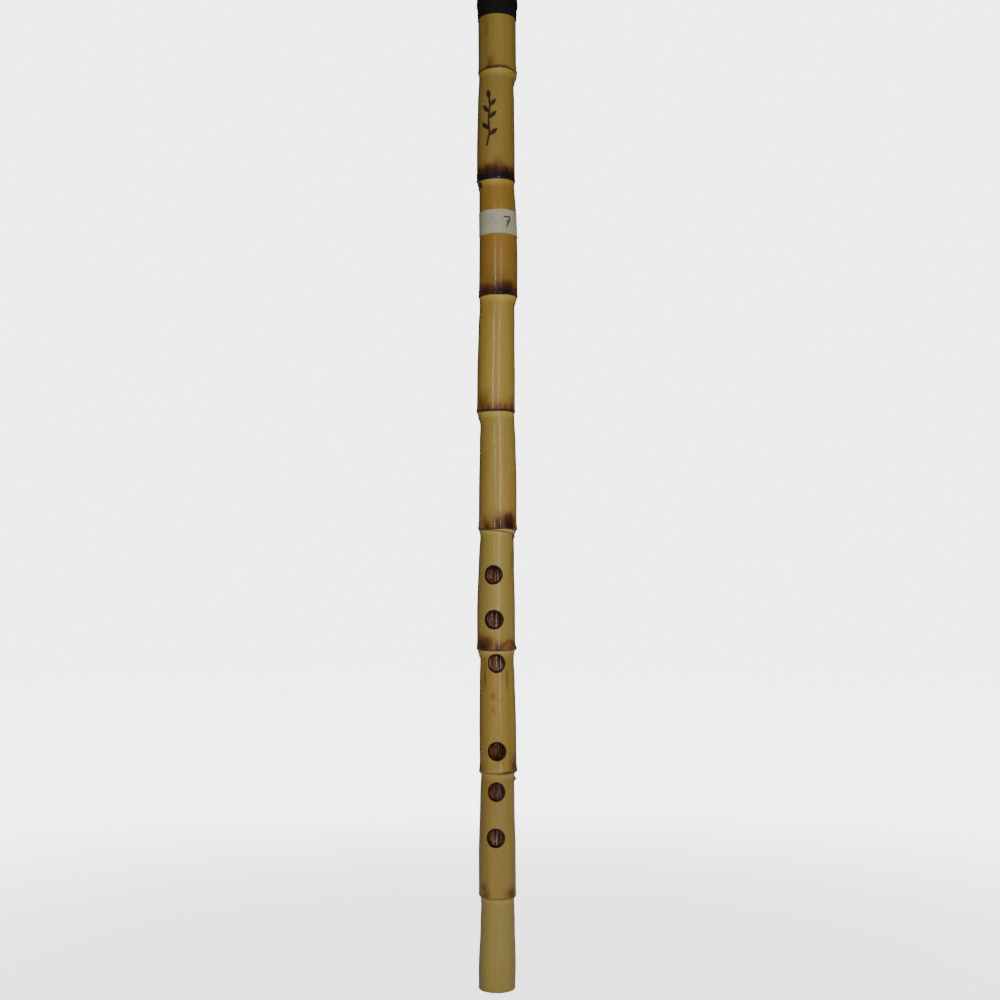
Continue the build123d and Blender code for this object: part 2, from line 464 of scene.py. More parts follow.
# Raised scars of old leaves and buds: height, turn from the front in degrees, half sizes in mm, and rise
MOUNDS = [
    (224.4, 46, 5.2, 5.4, 0.75),
    (222.6, 76, 3.0, 3.4, 0.9),
    (594.6, 88, 5.2, 6.0, 0.95),
    (223.6, -70, 3.0, 3.5, 0.25),
    (63.0, -60, 2.4, 4.0, 0.2),
    (301.8, 70, 2.0, 4.0, 0.2),
    (531.0, -76, 3.0, 4.0, 0.25),
]
mounds = np.zeros(len(turns))
for height, turn, tall, wide, rise in MOUNDS:
    span = turned_by(turns, FRONT + radians(turn))
    reach = np.hypot((heights - height) / tall, span * BLANK_RADIUS / wide)
    mounds += rise * np.clip(1 - reach * reach, 0, 1) ** 1.5

# A second crease, tilted, below the fifth node from the mouth: lowest at the right, and gone at the left
CREASED_INTERNODE = 3
CREASE_DROP = 1.2
CREASE_TILT = 1.7
CREASE_HALF_WIDTH = 0.45
crease_drop = CREASE_DROP + CREASE_TILT * np.cos(turns)
crease_gap = SCAR_HEIGHTS[CREASED_INTERNODE] - heights - crease_drop
creases = (internodes == CREASED_INTERNODE) * np.exp(-((crease_gap / CREASE_HALF_WIDTH) ** 2))

blank = bpy.data.meshes.new("cane_blank")
straight = np.column_stack((np.cos(turns) * BLANK_RADIUS, np.sin(turns) * BLANK_RADIUS, heights)) * MM
blank.from_pydata(straight.tolist(), [], faces)
belly_of, neck_of = np.array(BELLY_RADII), np.array(NECK_RADII + [NECK_RADII[-1]])
low_of = np.array([-FAR_AWAY] + SCAR_HEIGHTS)
high_of = np.array(SCAR_HEIGHTS + [LENGTH + FAR_AWAY])
end_heights = np.array(lows + [LENGTH])
share = (heights - end_heights[internodes]) / (end_heights[internodes + 1] - end_heights[internodes])

# The cane zigzags: each internode leans its own way, and steps over to the one above it at the node.
# The buds grew on its two sides in turn.
BUD_TURN = radians(-7)
neck_drops = np.array(NECK_DROPS + [1.0])[internodes]
at_foot, at_middle, at_head = np.array(BENDS)[internodes].T
own_lean = at_foot * (1 - share) * (1 - 2 * share) + at_middle * 4 * share * (1 - share)
own_lean += at_head * share * (2 * share - 1)
next_lean = np.array([foot for foot, *_ in BENDS[1:]] + [0.0])[internodes]
stepped = (1 - (high_of[internodes] - heights) / neck_drops).clip(0, 1)
shifts = own_lean + (next_lean - own_lean) * stepped * stepped * (3 - 2 * stepped)
ridge_of = np.array(RIDGE_RADII)
bud_sides = np.where(internodes % 2 == 1, BUD_TURN, BUD_TURN + pi)
for name, values in {
    "turn": turns,
    "height": heights,
    "depth": depths,
    "belly": belly_of[internodes],
    "neck": neck_of[internodes],
    "above_scar": heights - low_of[internodes],
    "below_scar": high_of[internodes] - heights,
    "internode": internodes,
    "shift": shifts,
    "ridge": np.where(internodes > 0, ridge_of[internodes - 1], ridge_of[0]),
    "next_ridge": ridge_of[internodes.clip(0, len(ridge_of) - 1)],
    "neck_drop": neck_drops,
    "bud_rise": np.array(BUD_RISES)[internodes],
    "tone_and_painted_light": np.array(TONES_AND_PAINTED_LIGHT)[internodes],
    "green": np.array(GREENS)[internodes],
    "bud_side": bud_sides,
    "passage": np.array(PASSAGE_RADII)[nearest_scar],
    "line": np.array(LINE_STRENGTHS)[nearest_scar],
    "crease": creases,
    "hole_gap": mouths,
    "burn": burns,
    "mound": mounds,
}.items():
    blank.attributes.new(name, "FLOAT", "POINT").data.foreach_set("value", values.astype(np.float32))

# The rule for cane: where the skin is at each turn and height, in millimetres
CANE_SIZES = {
    "Crest height": 1.2,
    "Flare height": 9.0,
    "Scar depth": 0.45,
    "Crease depth": 0.14,
    "Shoulder drop": 18.0,
    "Shoulder rise": 0.45,
    "Shoulder spread": 2.9,
    "Neck fullness": 1.12,
    "Neck overrun": -0.45,
    "Groove depth": 0.8,
    "Groove half width": 0.36,
    "Groove length": 46.0,
    "Groove drop": 5.0,
    "Groove clearance": 1.5,
    "Bud drop": 4.4,
    "Bud size": 1.3,
    "Unevenness": 0.1,
    "Unevenness length": 45.0,
    "Ridge height": 6.0,
    "Ridge unevenness": 0.3,
    "Ribbing": 0.035,
    "Rib length": 600.0,
    "Rib fade above": 10.0,
    "Rib fade below": 8.0,
    "Node tilt": 0.7,
    "Tilt reach": 7.0,
    "Membrane flat": 1.1,
    "Membrane reach": 2.1,
    "Membrane raggedness": 0.3,
    "Bore radius": BORE_RADIUS,
    "Bevel height": BEVEL_HEIGHT,
    "Rim radius": BORE_RADIUS + RIM_WIDTH,
    "Foot edge": 0.8,
    "Foot narrowing": 0.4,
    "Foot taper height": 24.0,
    "Length": LENGTH,
    "Seed": 4.0,
}


def new_rule(name, sizes):
    """An empty shape tree with named sizes, returned with its input node and those sizes."""
    tree = bpy.data.node_groups.new(name, "GeometryNodeTree")
    tree.is_modifier = True
    tree.interface.new_socket("Blank", in_out="INPUT", socket_type="NodeSocketGeometry")
    tree.interface.new_socket("Shape", in_out="OUTPUT", socket_type="NodeSocketGeometry")
    for title in sizes:
        tree.interface.new_socket(title, in_out="INPUT", socket_type="NodeSocketFloat")
    tree.interface.new_socket("Material", in_out="INPUT", socket_type="NodeSocketMaterial")
    given = tree.nodes.new("NodeGroupInput")
    return tree, given, {title: Field(tree, given.outputs[title]) for title in sizes}


def finish_rule(tree, given, geometry):
    """Ends a shape tree: instances made real, and the material set."""
    whole = add_node(tree, "GeometryNodeRealizeInstances", {"Geometry": geometry})
    inputs = {"Geometry": whole.outputs[0], "Material": given.outputs["Material"]}
    dressed = add_node(tree, "GeometryNodeSetMaterial", inputs)
    tree.links.new(dressed.outputs[0], tree.nodes.new("NodeGroupOutput").inputs[0])


def read(tree, name):
    """A number kept on each point of the mesh, for a shape rule."""
    made = add_node(tree, "GeometryNodeInputNamedAttribute", {"Name": name}, data_type="FLOAT")
    return Field(tree, made.outputs["Attribute"])


rule, given, size = new_rule("cane_rule", CANE_SIZES)
turn, height, depth = read(rule, "turn"), read(rule, "height"), read(rule, "depth")
belly, neck = read(rule, "belly"), read(rule, "neck")
above, below = read(rule, "above_scar"), read(rule, "below_scar")
east, south = turn.reckon("COSINE"), turn.reckon("SINE")
upright = height / size["Unevenness length"]
ring = add_node(rule, "ShaderNodeCombineXYZ", {0: east, 1: south, 2: upright}).outputs[0]


def noise(tree, place, scale, detail=2.0, seed=0.0):
    """Smooth noise about zero, from -1 to 1."""
    inputs = {"Vector": place, "Scale": scale, "Detail": detail, "W": seed}
    made = add_node(tree, "ShaderNodeTexNoise", inputs, noise_dimensions="4D")
    return Field(tree, made.outputs[0]).ramp(0.2, 0.8, -1, 1, smooth=False)


flare = (above - size["Crest height"]) / size["Flare height"]
fallen = (1 - flare.most(0).least(1)) ** 3
bump = (read(rule, "ridge") - belly) * fallen
neck_drop = read(rule, "neck_drop")
lip = (1 - above / size["Crest height"]).most(0)
bump = bump - size["Scar depth"] * lip * lip
to_shoulder = belly - neck - size["Shoulder rise"]
spread = size["Shoulder drop"] * size["Shoulder spread"]
narrowing = below.ramp(spread, size["Shoulder drop"], 0, to_shoulder)
narrowing = narrowing + below.ramp(size["Shoulder drop"], neck_drop, 0, size["Shoulder rise"])
under = below.ramp(neck_drop, neck_drop * size["Neck overrun"]) * size["Neck fullness"]
under = under * (read(rule, "next_ridge") - size["Scar depth"] - neck)
off_side = (turn - read(rule, "bud_side")).reckon("COSINE").reckon("ARCCOSINE")
across = off_side.ramp(size["Groove half width"], 0, 0, 1)
groove_end = size["Groove length"] + size["Groove drop"]
along = below.ramp(size["Groove clearance"], size["Groove drop"])
along = along * below.ramp(size["Groove drop"], groove_end, 1, 0, smooth=False)
groove = across * along * size["Groove depth"]
bud_gap = ((off_side * neck) ** 2 + (below - size["Bud drop"]) ** 2) ** 0.5
bud = bud_gap.ramp(size["Bud size"] * 1.6, size["Bud size"] * 0.4, 0, read(rule, "bud_rise"))
uneven = noise(rule, ring, 1.1, 2, size["Seed"]) * size["Unevenness"]
uneven = uneven * above.ramp(0, size["Ridge height"], size["Ridge unevenness"], 1)
upright = height / size["Rib length"]
ribs = add_node(rule, "ShaderNodeCombineXYZ", {0: east, 1: south, 2: upright}).outputs[0]
ribbing = noise(rule, ribs, 5.5, 1, size["Seed"]) * size["Ribbing"]
ribbing = ribbing * above.ramp(0, size["Rib fade above"]) * below.ramp(0, size["Rib fade below"])
foot = height.ramp(0, size["Foot taper height"], size["Foot narrowing"], 0)
edge = (size["Foot edge"] - height).most(0)
foot = foot + size["Foot edge"] - (size["Foot edge"] ** 2 - edge * edge).most(0) ** 0.5
skin = belly + bump - narrowing + under - groove + bud + uneven + ribbing - foot
skin = skin + read(rule, "mound") - read(rule, "crease") * size["Crease depth"]
slope = (belly - size["Rim radius"]) / size["Bevel height"]
skin = skin.least(size["Rim radius"] + (size["Length"] - height) * slope)
to_scar = above.reckon("ABSOLUTE").least(below.reckon("ABSOLUTE"))
torn = noise(rule, ring, 3.0, 2, size["Seed"]) * size["Membrane raggedness"]
passage = read(rule, "passage") + torn
bore = to_scar.ramp(size["Membrane flat"], size["Membrane reach"], passage, size["Bore radius"])
radius = skin + (bore - skin) * depth
tilt = noise(rule, ring, 0.8, 1, size["Seed"] + 2) * size["Node tilt"]
tilt = tilt * to_scar.ramp(size["Tilt reach"], 0)
x = radius * east + read(rule, "shift")
y = radius * south
z = height + tilt
spot = add_node(rule, "ShaderNodeCombineXYZ", {0: x * MM, 1: y * MM, 2: z * MM})
blank_in = given.outputs["Blank"]
moved = add_node(rule, "GeometryNodeSetPosition", {"Geometry": blank_in, "Position": spot.outputs[0]})
finish_rule(rule, given, moved.outputs[0])


def grow(name, mesh, tree, settings, material):
    """Runs a shape tree on a mesh and returns its result as a plain, smooth-shaded object."""
    piece = bpy.data.objects.new(name, mesh)
    bpy.context.scene.collection.objects.link(piece)
    modifier = piece.modifiers.new("shape", "NODES")
    modifier.node_group = tree
    for socket in tree.interface.items_tree:
        if socket.in_out == "INPUT" and socket.name in settings:
            modifier[socket.identifier] = settings[socket.name]
        if socket.in_out == "INPUT" and socket.name == "Material":
            modifier[socket.identifier] = material
    ready = piece.evaluated_get(bpy.context.evaluated_depsgraph_get())
    made = bpy.data.meshes.new_from_object(ready)
    made.name = name
    made.shade_smooth()
    piece.modifiers.clear()
    piece.data = made
    return piece


varnished, tree, coat = new_material("varnished_cane")
place = add_node(tree, "ShaderNodeTexCoord").outputs["Object"]


def stretched(tree, place, upright):
    """The place with its height scaled, for grain that runs along the cane."""
    made = add_node(tree, "ShaderNodeMapping", {"Vector": place, "Scale": (1, 1, upright)})
    return made.outputs[0]


def kept(tree, name):
    """A number kept on each point of the mesh, for a material."""
    return Field(tree, add_node(tree, "ShaderNodeAttribute", attribute_name=name).outputs["Fac"])


def colour_ramp(tree, value, stops):
    """Turns a value into a colour by stops, each a place from 0 to 1 and its colour."""
    made = add_node(tree, "ShaderNodeValToRGB", {0: value})
    bands = made.color_ramp.elements
    for band in range(2, len(stops)):
        bands.new(0.5)
    for band, (at, colour) in zip(bands, stops):
        band.position = at
        band.color = (*colour, 1)
    return made.outputs[0]


def blend(tree, share, under, over):
    """Lays one colour over another by a share."""
    made = add_node(tree, "ShaderNodeMix", {0: share, 6: under, 7: over}, data_type="RGBA")
    return made.outputs[2]


fibre = noise(tree, stretched(tree, place, 0.018), 900, 3)
hair = noise(tree, stretched(tree, place, 0.01), 2600, 2, 1.7)
cloud = noise(tree, stretched(tree, place, 0.3), 55, 4, 3.1)
streak = noise(tree, stretched(tree, place, 0.03), 160, 2, 5.0)
shade = 0.5 + fibre * 0.07 + hair * 0.04 + cloud * 0.14 + streak * 0.12
CANE_STOPS = [
    (0.05, (0.17, 0.092, 0.012)),
    (0.35, (0.25, 0.15, 0.024)),
    (0.6, (0.34, 0.22, 0.044)),
    (0.95, (0.46, 0.33, 0.1)),
]
WARM_CANE = (0.29, 0.135, 0.016, 1)
OLIVE_CANE = (0.2, 0.15, 0.016, 1)
GREEN_CANE = (0.34, 0.285, 0.08, 1)
# Colour of the pale band under the node lines, partly the cane's own skin and partly painted highlight
PALE_NECK_AND_HIGHLIGHT = (0.47, 0.35, 0.072, 1)
FLECK_BROWN = (0.09, 0.035, 0.008, 1)
colour = colour_ramp(tree, shade, CANE_STOPS)
above, below, depth = kept(tree, "above_scar"), kept(tree, "below_scar"), kept(tree, "depth")
burn, gap = kept(tree, "burn"), kept(tree, "hole_gap")
number = kept(tree, "internode")
warm = (number - 6).reckon("ABSOLUTE").ramp(1, 0) * 0.55 + (number - 5).reckon("ABSOLUTE").ramp(1, 0) * 0.15
colour = blend(tree, warm, colour, WARM_CANE)
olive = number.ramp(6.5, 8, 0, 0.3) + below.ramp(26, 0, 0, 0.3) * (0.6 + cloud * 0.5)
colour = blend(tree, olive, colour, OLIVE_CANE)
colour = blend(tree, kept(tree, "green"), colour, GREEN_CANE)
# A pale band under each node line: partly the cane's own paler skin, partly painted highlight
pale_band_and_highlight = below.ramp(5.5, 0.6) * (0.54 + cloud * 0.35)
colour = blend(tree, pale_band_and_highlight, colour, PALE_NECK_AND_HIGHLIGHT)
fleck = noise(tree, stretched(tree, place, 0.22), 1500, 0, 8.0).ramp(0.55, 0.8) * cloud.ramp(-0.2, 0.5)
colour = blend(tree, fleck * 0.35, colour, FLECK_BROWN)
# Brightness of each internode, partly painted light: brightest at the fifth and sixth from the foot
painted_light_toned = add_node(tree, "ShaderNodeHueSaturation", {"Value": kept(tree, "tone_and_painted_light"), "Color": colour})
colour = painted_light_toned.outputs[0]

# End grain, pale with dark bundles of fibre, on the foot face, the mouth edge and its bevel
GRAIN_PALE = (0.5, 0.39, 0.18, 1)
GRAIN_BROWN = (0.34, 0.23, 0.09, 1)
BUNDLE_BROWN = (0.13, 0.07, 0.025, 1)
split = add_node(tree, "ShaderNodeSeparateXYZ", {0: place})
east, south, up = (Field(tree, split.outputs[axis]) for axis in range(3))
tall = up / MM
bevel = tall.ramp(LENGTH - BEVEL_HEIGHT + 0.1, LENGTH - BEVEL_HEIGHT + 0.5) * depth.ramp(0.03, 0.01)
cut = tall.ramp(0.05, 0.02).most(tall.ramp(LENGTH - 0.05, LENGTH - 0.02)).most(bevel)
bundles = add_node(tree, "ShaderNodeTexVoronoi", {"Vector": stretched(tree, place, 0.1), "Scale": 1900})
bundle = Field(tree, bundles.outputs["Distance"]).ramp(0.42, 0.22)
grain = blend(tree, cloud.ramp(-0.5, 0.6) * 0.5, GRAIN_PALE, GRAIN_BROWN)
grain = blend(tree, bundle * 0.7, grain, BUNDLE_BROWN)

# Wall of the bore and the holes: reddish wood with dark specks, and pale vertical streaks, partly pith and
# partly painted highlight
BORE_SHADOW = (0.1, 0.02, 0.01, 1)
BORE_RED = (0.27, 0.08, 0.04, 1)
PITH_AND_HIGHLIGHT_PALE = (0.9, 0.72, 0.62, 1)
SPECK_BLACK = (0.02, 0.006, 0.004, 1)
inside = depth.ramp(0.5, 0.9) * (1 - cut)
pith_and_highlight = noise(tree, stretched(tree, place, 0.06), 1100, 2, 6.0).ramp(0.0, 0.35) * cloud.ramp(-0.4, 0.35)
# The pale streaks grow stronger towards the right: painted highlight
pith_and_highlight = pith_and_highlight * (east / MM).ramp(-4, 3, 0.4, 1.2)
specks = noise(tree, stretched(tree, place, 0.5), 900, 2, 2.5).ramp(0.2, 0.42)
bore_colour = blend(tree, cloud.ramp(-0.7, 0.7), BORE_SHADOW, BORE_RED)
bore_colour = blend(tree, pith_and_highlight, bore_colour, PITH_AND_HIGHLIGHT_PALE)
bore_colour = blend(tree, specks * 0.85, bore_colour, SPECK_BLACK)
colour = blend(tree, cut, blend(tree, inside, colour, bore_colour), grain)

# Scorched skin, from brown to black: node lines, burns above them, and hole rims, widened at the right by
# painted shade
ragged = noise(tree, stretched(tree, place, 0.14), 330, 3, 9.0)
soot = noise(tree, stretched(tree, place, 0.5), 150, 3, 12.0)
line = above.ramp(0.9, 0.15).most(below.ramp(0.4, 0.05)) * kept(tree, "line") * (1 + cloud * 0.4)
line = line.most(kept(tree, "crease") * (0.42 + cloud * 0.2))
scorch = burn * (1 + soot * 0.35) + ragged * 0.08 * burn.ramp(0.05, 0.4)
# Burnt rings round the holes, wider at the right with painted shade of the hole's wall
burnt_rim_and_shade = (gap + ragged * 0.14 + soot * 0.12).ramp(1.45, 0.8) * 0.8
charred = scorch.most(line).most(burnt_rim_and_shade).least(1)
CHAR_STOPS = [
    (0.0, (0.25, 0.135, 0.024)),
    (0.35, (0.14, 0.052, 0.009)),
    (0.62, (0.055, 0.015, 0.006)),
    (0.9, (0.008, 0.004, 0.003)),
]
colour = blend(tree, charred.ramp(0.02, 0.5), colour, colour_ramp(tree, charred, CHAR_STOPS))


def new_group(name, inputs, outputs):
    """An empty shader group with named number sockets, returned with its input and output nodes."""
    group = bpy.data.node_groups.new(name, "ShaderNodeTree")
    for socket in inputs:
        group.interface.new_socket(socket, in_out="INPUT", socket_type="NodeSocketFloat")
    for socket in outputs:
        group.interface.new_socket(socket, in_out="OUTPUT", socket_type="NodeSocketFloat")
    given = group.nodes.new("NodeGroupInput")
    fields = {socket: Field(group, given.outputs[socket]) for socket in inputs}
    return group, fields, group.nodes.new("NodeGroupOutput")


# One stroke of a hot needle or a pen, from a start to an end, in millimetres round and up the cane.
# With a belly of 1 it swells in its middle like a leaf, and with 0 it keeps its width.
STROKE_INPUTS = ["Across", "Up", "Start across", "Start up", "End across", "End up"]
STROKE_INPUTS += ["Width", "Belly", "Softness"]
stroke, given, result = new_group("single_stroke", STROKE_INPUTS, ["Mark"])
run, rise = given["End across"] - given["Start across"], given["End up"] - given["Start up"]
from_start = given["Across"] - given["Start across"], given["Up"] - given["Start up"]
along = ((from_start[0] * run + from_start[1] * rise) / (run * run + rise * rise)).most(0).least(1)
off = ((from_start[0] - run * along) ** 2 + (from_start[1] - rise * along) ** 2) ** 0.5
half = given["Width"] * (1 - given["Belly"] + given["Belly"] * (along * pi).reckon("SINE")) / 2
join(stroke, (off - half).ramp(given["Softness"], given["Softness"] * -1), result.inputs[0])


def draw(tree, across, up, strokes, softness):
    """Lays down strokes, each with its start, end, width and belly, and returns their mark."""
    mark = None
    for start, end, width, swell in strokes:
        numbers = (across, up, *start, *end, width, swell, softness)
        made = add_node(tree, "ShaderNodeGroup", dict(zip(STROKE_INPUTS, numbers)), node_tree=stroke)
        laid = Field(tree, made.outputs[0])
        mark = laid if mark is None else mark.most(laid)
    return mark


# Reddish scar of an old bud with a dark outline, above the sixth node from the mouth, at the right.
# Its places are millimetres round from the front and up from the node line.
BUD_SCAR_RADIUS = 12.6
BUD_SCAR_MIDDLE = (8.6, 3.2)
BUD_SCAR_HALF_SIZE = (6.4, 3.8)
BUD_SCAR_RED = (0.23, 0.062, 0.018, 1)
BUD_SCAR_DARK = (0.045, 0.013, 0.006, 1)
BUD_SCAR_OUTLINE = [(1.0, 0.4), (4.8, 4.2), (8.4, 6.8), (12.6, 4.6), (16.8, 0.8)]
bearing = east.reckon("ARCTAN2", south * -1)
wander = noise(tree, place, 260, 1, 3.0) * 0.22
round_scar, up_scar = bearing * BUD_SCAR_RADIUS, tall - SCAR_HEIGHTS[2]
off_round = (round_scar - BUD_SCAR_MIDDLE[0]) / BUD_SCAR_HALF_SIZE[0]
off_up = (up_scar - BUD_SCAR_MIDDLE[1]) / BUD_SCAR_HALF_SIZE[1]
ruddy = ((off_round ** 2 + off_up ** 2) ** 0.5 + ragged * 0.15).ramp(1.1, 0.5) * (1 - inside)
colour = blend(tree, ruddy * 0.6, colour, BUD_SCAR_RED)
outline = [(start, end, 1.7, 0.3) for start, end in zip(BUD_SCAR_OUTLINE, BUD_SCAR_OUTLINE[1:])]
scar_mark = draw(tree, round_scar + wander, up_scar + wander, outline, 0.9)
colour = blend(tree, scar_mark * (0.5 + ragged * 0.2) * (1 - inside), colour, BUD_SCAR_DARK)

# Burnt ornament below the first node from the mouth: a plain sprig with a bent stem and single leaves
SPRIG_RADIUS = 12.1
SPRIG_TURN = radians(-25)
SPRIG_HEIGHT = 565.0
STEM_WIDTH = 1.2
LEAF_WIDTH = 2.8
SPRIG_EMBER = (0.13, 0.03, 0.007, 1)
SPRIG_BLACK = (0.012, 0.004, 0.003, 1)
SPRIG_STEM = [(-1.2, -17), (0.4, -9), (-0.3, 0), (0.6, 8), (0.0, 14)]
SPRIG_LEAVES = [((0.2, -11), (5.6, -6.4)), ((0.2, -7), (-5.2, -1.8)), ((-0.2, 0), (5.0, 5.0))]
SPRIG_LEAVES += [((0.2, 4), (-4.6, 9.4)), ((0.5, 8), (4.4, 12.6)), ((0.1, 13), (-0.8, 19.0))]
round_cane = (bearing - SPRIG_TURN) * SPRIG_RADIUS + wander
up_cane = tall - SPRIG_HEIGHT + wander
sprig = [(start, end, STEM_WIDTH, 0.15) for start, end in zip(SPRIG_STEM, SPRIG_STEM[1:])]
sprig += [(start, end, LEAF_WIDTH, 1.0) for start, end in SPRIG_LEAVES]
front_only = (bearing - SPRIG_TURN).reckon("ABSOLUTE").ramp(1.4, 1.2)
sprig_mark = draw(tree, round_cane, up_cane, sprig, 0.22) * (1 - inside) * front_only
ember = draw(tree, round_cane, up_cane, sprig, 0.9) * (1 - inside) * front_only
colour = blend(tree, ember * 0.6, colour, SPRIG_EMBER)
colour = blend(tree, sprig_mark * (0.9 + ragged * 0.1), colour, SPRIG_BLACK)
join(tree, colour, coat.inputs["Base Color"])

# Varnish: glossy, but less so on the necks under the upper nodes, which were scraped, and round the holes
rough = 0.44 + charred * 0.12 + hair * 0.05 + inside * -0.12
join(tree, rough, coat.inputs["Roughness"])
FULL_VARNISH = 0.55
scraped = number.ramp(4.4, 4.8) * below.ramp(10, 5) * 0.8
join(tree, FULL_VARNISH - scraped.most(burnt_rim_and_shade) * FULL_VARNISH, coat.inputs["Coat Weight"])
coat.inputs["Coat Roughness"].default_value = 0.14
coat.inputs["Coat IOR"].default_value = 1.5
relief = fibre * 0.4 + hair * 0.25 + charred * ragged * 0.8 - sprig_mark * 1.6 + inside * pith_and_highlight * 1.5
bumped = add_node(tree, "ShaderNodeBump", {"Height": relief, "Strength": 0.6, "Distance": 0.00006})
join(tree, bumped.outputs[0], coat.inputs["Normal"])

cane = grow("cane_tube_skin", blank, rule, CANE_SIZES, varnished)
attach(cane, "root")
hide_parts("cane_tube")


# Mouth binding: black cloth tape wound up the top internode from its lower edge, each turn lapped over
# the one before, so that its lower edge shows. The third turn starts with a folded hem, which stands proud.
TAPE_WIDTH = 19.0
TAPE_THICKNESS = 0.2
TAPE_EDGE = 0.25
TAPE_TURNS = 6.0
TAPE_STEPS = 576
TAPE_SECTION = 40
HEM_WIDTH = 4.2
HEM_RISE = 0.28
TAPE_RADIUS = 12.56
TAPE_START_TURN = 2.2
# Climb of the lower edge: two steps, each from one turn to another by a share, then a steady rise
CLIMB_STEPS = [(0.85, 1.15, 0.14), (1.8, 2.3, 0.26)]
STEADY_START = 3.0
STEADY_CLIMB = 0.6
LEVEL_END = 0.9
HEM_START = (1.98, 2.1)
HEM_END = (3.12, 3.0)
tape_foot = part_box("mouth_binding")[0].z / MM
tape_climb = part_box("mouth_binding")[1].z / MM - tape_foot - TAPE_WIDTH
TAPE_SIZES = {
    "Foot": tape_foot,
    "Climb": tape_climb,
    "Radius": TAPE_RADIUS,
    "Width": TAPE_WIDTH,
    "Thickness": TAPE_THICKNESS,
    "Edge": TAPE_EDGE,
    "Turns": TAPE_TURNS,
    "Hem width": HEM_WIDTH,
    "Hem rise": HEM_RISE,
    "Lap squeeze": 0.92,
    "Clearance": 0.03,
    "Slackness": 0.06,
    "Crinkle": 0.12,
    "Crinkle reach": 2.0,
    "End taper": 0.004,
    "Seed": 7.0,
}

winding, given, size = new_rule("tape_winding", TAPE_SIZES)
grid = {"Size X": 1.0, "Size Y": 1.0, "Vertices X": TAPE_STEPS, "Vertices Y": TAPE_SECTION}
strip = add_node(winding, "GeometryNodeMeshGrid", grid)
flat_place = add_node(winding, "GeometryNodeInputPosition").outputs[0]
split = add_node(winding, "ShaderNodeSeparateXYZ", {0: flat_place})
paid_out = (Field(winding, split.outputs[0]) + 0.5) * size["Turns"]
section = (Field(winding, split.outputs[1]) + 0.5).most(0).least(1)
outer = (0.5 - section).reckon("SIGN").most(0)
across = (0.5 - ((1 - (section * 2 - 1).reckon("ABSOLUTE")) * pi).reckon("COSINE") * 0.5) * size["Width"]


def lower_edge(wound):
    """How far the tape's lower edge has climbed: two short steps, then a steady pitch."""
    first, second = (wound.ramp(start, end, 0, share) for start, end, share in CLIMB_STEPS)
    steady = wound.ramp(STEADY_START, size["Turns"] - LEVEL_END, 0, STEADY_CLIMB, smooth=False)
    return (first + second + steady) * size["Climb"]


own_height = lower_edge(paid_out) + across
layers = None
for earlier in range(1, int(TAPE_TURNS)):
    before = paid_out - earlier
    lap = (lower_edge(before) + size["Width"] - own_height).ramp(-0.5, 0.5) * before.ramp(-0.06, 0.0)
    lap = lap * (own_height - lower_edge(before)).ramp(-0.3, 0.2)
    layers = lap if layers is None else layers + lap
hem = (across - size["Hem width"]).ramp(0.25, -0.25)
hem = hem * paid_out.ramp(*HEM_START) * paid_out.ramp(*HEM_END)
thickness = size["Thickness"] + hem * size["Hem rise"]
edge_gap = across.least(size["Width"] - across) / size["Edge"]
ends = paid_out.least(size["Turns"] - paid_out).ramp(0, size["End taper"])
thickness = thickness * (1 - (1 - edge_gap).most(0) ** 2).most(0) ** 0.5 * ends
bearing = paid_out * tau + FRONT + TAPE_START_TURN
east, south = bearing.reckon("COSINE"), bearing.reckon("SINE")
ring = add_node(winding, "ShaderNodeCombineXYZ", {0: east, 1: south, 2: own_height / 6}).outputs[0]
slack = noise(winding, ring, 2.2, 2, size["Seed"]) * size["Slackness"]
radius = size["Radius"] + layers * size["Thickness"] * size["Lap squeeze"] + outer * thickness
radius = radius + slack + size["Clearance"]
to_edge = own_height.least(size["Climb"] + size["Width"] - own_height)
crinkle = noise(winding, ring, 1.4, 1, size["Seed"] + 3) * size["Crinkle"]
crinkle = crinkle * to_edge.ramp(0, size["Crinkle reach"])
height = size["Foot"] + own_height + crinkle
numbers = {0: radius * east * MM, 1: radius * south * MM, 2: height * MM}
spot = add_node(winding, "ShaderNodeCombineXYZ", numbers)


def keep(tree, geometry, name, value):
    """Keeps a number on each point of the shape, for its material."""
    inputs = {"Geometry": geometry, "Name": name, "Value": value}
    made = add_node(tree, "GeometryNodeStoreNamedAttribute", inputs, data_type="FLOAT", domain="POINT")
    return made.outputs[0]


strip = keep(winding, strip.outputs["Mesh"], "paid_out", paid_out * TAPE_RADIUS * tau)
strip = keep(winding, strip, "across", across)
wound = add_node(winding, "GeometryNodeSetPosition", {"Geometry": strip, "Position": spot.outputs[0]})
inputs = {"Geometry": wound.outputs[0], "Distance": 0.002 * MM}
closed = add_node(winding, "GeometryNodeMergeByDistance", inputs)
turned = add_node(winding, "GeometryNodeFlipFaces", {"Mesh": closed.outputs[0]})
finish_rule(winding, given, turned.outputs[0])

